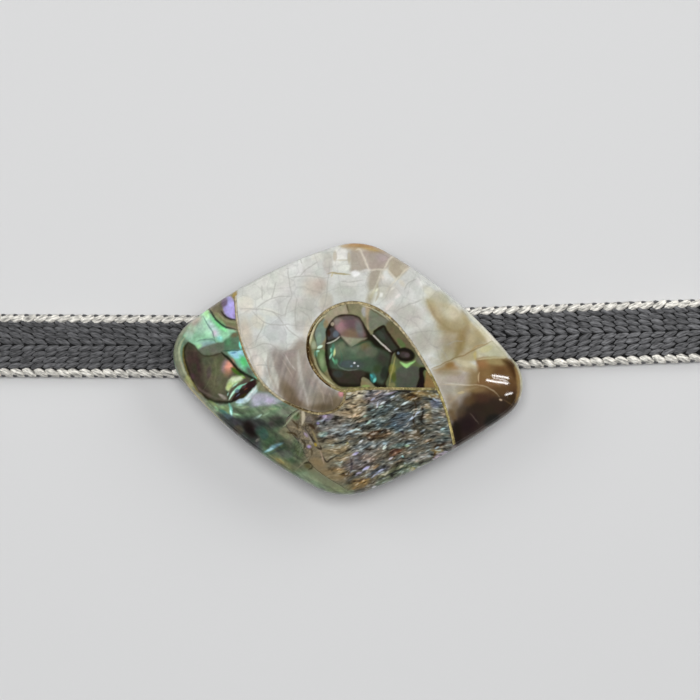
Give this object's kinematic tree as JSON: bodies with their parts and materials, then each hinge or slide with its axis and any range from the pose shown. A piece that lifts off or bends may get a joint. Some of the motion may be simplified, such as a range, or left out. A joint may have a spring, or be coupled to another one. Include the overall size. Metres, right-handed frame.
{
  "type": "obidome on a flat braided band",
  "caption": "Domed lozenge sash clasp inlaid with iridescent shell, threaded by a hidden back fitting on a flat grey braided band with off-white edges.",
  "frame": {"origin": "centre of the plate's plan, at the surface that the fitting and the band lie on", "axes": "+X along the band towards the picture's right, +Y to the plate's upper edge, +Z out of the shell face"},
  "size_m": [0.11, 0.0364, 0.0086],
  "materials": {
    "base_plate": "polished clear-coated resin with a greenish and amber edge",
    "left_abalone": "polished green abalone shell under clear lacquer",
    "white_shell": "cracked mother-of-pearl under clear lacquer",
    "eye_abalone": "dark green abalone shell under clear lacquer",
    "striped_abalone": "fine-striped abalone shell under clear lacquer",
    "gold_seam": "thin dull gold line under clear lacquer",
    "back_fitting": "plain satin gilt sheet metal",
    "braided_band": "flat silk braid, grey with off-white edges"
  },
  "bodies": {
    "root": {"base_plate": "base_plate", "left_abalone": "left_abalone", "white_shell": "white_shell", "eye_abalone": "eye_abalone", "striped_abalone": "striped_abalone", "gold_seam": "gold_seam", "back_fitting": "back_fitting", "braided_band": "braided_band"}
  },
  "joints": []
}
